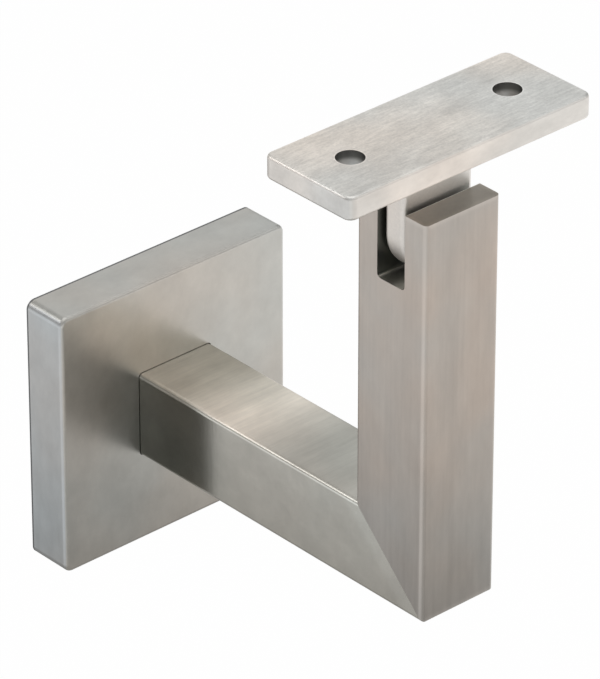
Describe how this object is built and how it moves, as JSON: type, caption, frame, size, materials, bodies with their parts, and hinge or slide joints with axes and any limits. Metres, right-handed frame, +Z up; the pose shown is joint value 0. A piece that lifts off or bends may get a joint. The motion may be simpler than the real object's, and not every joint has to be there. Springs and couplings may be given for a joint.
{
  "type": "handrail bracket",
  "caption": "Wall bracket for a flat-bottomed handrail: square bar elbow, square cover over the wall plate, tilting saddle plate in a slot at the top.",
  "frame": {"origin": "centre of the wall face of the mounting plate, on the middle line of the arm", "axes": "+X along the rail, +Y into the wall, +Z up; the arm reaches to -Y"},
  "size_m": [0.065, 0.101, 0.1285],
  "materials": {
    "brushed_bar": "satin brushed, grain along the piece",
    "brushed_cover": "satin brushed, fine grain",
    "cast_saddle": "cast, ground on top, fine blasted tongue",
    "mill_plate": "laser-cut sheet, mill finish",
    "screw_steel": "turned, plain"
  },
  "bodies": {
    "frame": {"mounting_plate": "mill_plate", "arm": "brushed_bar", "arm_screw_lower": "screw_steel", "arm_screw_upper": "screw_steel", "post": "brushed_bar", "pivot_screw": "screw_steel"},
    "cover": {"cover": "brushed_cover", "cover_grub_screw": "screw_steel"},
    "saddle": {"saddle": "cast_saddle"}
  },
  "joints": [
    {"name": "cover_slide", "type": "slide", "parent": "frame", "child": "cover", "axis": [0, -1, 0], "range_m": [0, 0.055]},
    {"name": "saddle_tilt", "type": "hinge", "parent": "frame", "child": "saddle", "pos_m": [0, -0.0885, 0.07515], "axis": [0, 1, 0], "range_deg": [-90, 90]}
  ]
}
